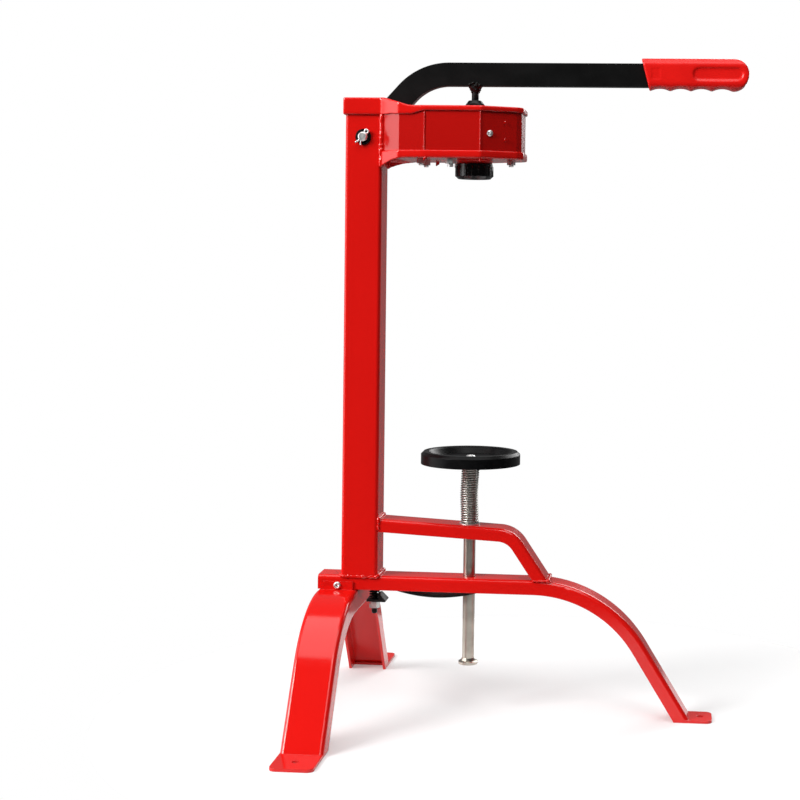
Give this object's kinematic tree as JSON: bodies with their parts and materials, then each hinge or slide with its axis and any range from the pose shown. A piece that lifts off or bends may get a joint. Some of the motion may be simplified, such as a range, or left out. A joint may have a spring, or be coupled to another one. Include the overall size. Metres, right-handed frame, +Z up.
{
  "type": "wine bottle corker",
  "caption": "Floor-standing hand corker: post on three splayed legs, jaw head, long lever with plunger, sprung bottle platform.",
  "frame": {"origin": "on the floor, under the middle of the overall box at rest", "axes": "+Z up along the post, +X from the post towards the bottle and the lever's grip, +Y towards the back"},
  "size_m": [0.4572, 0.4562, 0.7109],
  "materials": {
    "red_enamel": "glossy red stove enamel on pressed steel",
    "red_plastic": "glossy moulded red plastic",
    "black_satin": "satin black paint on bar steel",
    "black_plastic": "glossy black moulded plastic",
    "zinc": "bright zinc plating",
    "steel": "plain machined steel, lightly oiled",
    "brass": "machined brass",
    "plated_rod": "drawn steel rod with dull nickel plating",
    "spring_steel": "drawn spring wire"
  },
  "bodies": {
    "frame": {"base_bar": "red_enamel", "rear_legs": "red_enamel", "post": "red_enamel", "guide_bar": "red_enamel", "bottom_tray": "red_enamel", "side_wall": "red_enamel", "top_cover": "red_enamel", "jaw_housing": "steel", "jaw_fixed": "brass", "jaw_return_springs": "spring_steel", "pivot_pin": "zinc", "pivot_washers": "zinc", "pivot_spacers": "steel", "split_pin": "zinc", "neck_cup": "black_plastic", "platform_spring": "spring_steel", "spring_seat": "steel", "lock_bolt": "black_satin", "lock_spring": "spring_steel", "lock_seat": "black_satin", "lock_nut": "zinc", "head_bolts": "zinc", "head_nuts": "zinc", "tray_bolts": "zinc", "tray_nuts": "zinc", "side_screws": "zinc", "leg_bolt": "zinc", "leg_nut": "zinc"},
    "lever": {"lever_bar": "black_satin", "lever_grip": "red_plastic", "roller_pin": "steel", "cam_rollers": "steel", "plunger_stud": "steel", "plunger_nut": "steel", "plunger_rod": "plated_rod"},
    "front_jaw": {"jaw_front": "brass"},
    "back_jaw": {"jaw_back": "brass"},
    "pusher": {"jaw_pusher": "steel", "jaw_rear": "brass"},
    "platform": {"platform_dish": "black_plastic", "platform_rod": "plated_rod", "platform_screw": "zinc", "rod_cap": "zinc"},
    "lock": {"lock_lever": "black_satin"}
  },
  "joints": [
    {"name": "lever_pivot", "type": "hinge", "parent": "frame", "child": "lever", "pos_m": [-0.1831, 0, 0.6237], "axis": [0, -1, 0], "range_deg": [0, 47]},
    {"name": "front_jaw_slide", "type": "slide", "parent": "frame", "child": "front_jaw", "axis": [-0.7071, -0.7071, 0], "range_m": [0, 0.00905]},
    {"name": "back_jaw_slide", "type": "slide", "parent": "frame", "child": "back_jaw", "axis": [-0.7071, 0.7071, 0], "range_m": [0, 0.00905]},
    {"name": "pusher_slide", "type": "slide", "parent": "frame", "child": "pusher", "axis": [-1, 0, 0], "range_m": [0, 0.01278]},
    {"name": "platform_slide", "type": "slide", "parent": "frame", "child": "platform", "axis": [0, 0, 1], "range_m": [-0.01, 0.062], "deforming": ["platform_spring"]},
    {"name": "lock_tilt", "type": "hinge", "parent": "frame", "child": "lock", "pos_m": [-0.1691, 0, 0.137], "axis": [0, 1, 0], "range_deg": [-2, 2]}
  ],
  "couplings": [
    {"joint": "front_jaw_slide", "follows": "lever_pivot", "m_per_rad": 0.010972},
    {"joint": "back_jaw_slide", "follows": "lever_pivot", "m_per_rad": 0.010972},
    {"joint": "pusher_slide", "follows": "lever_pivot", "m_per_rad": 0.015516}
  ]
}
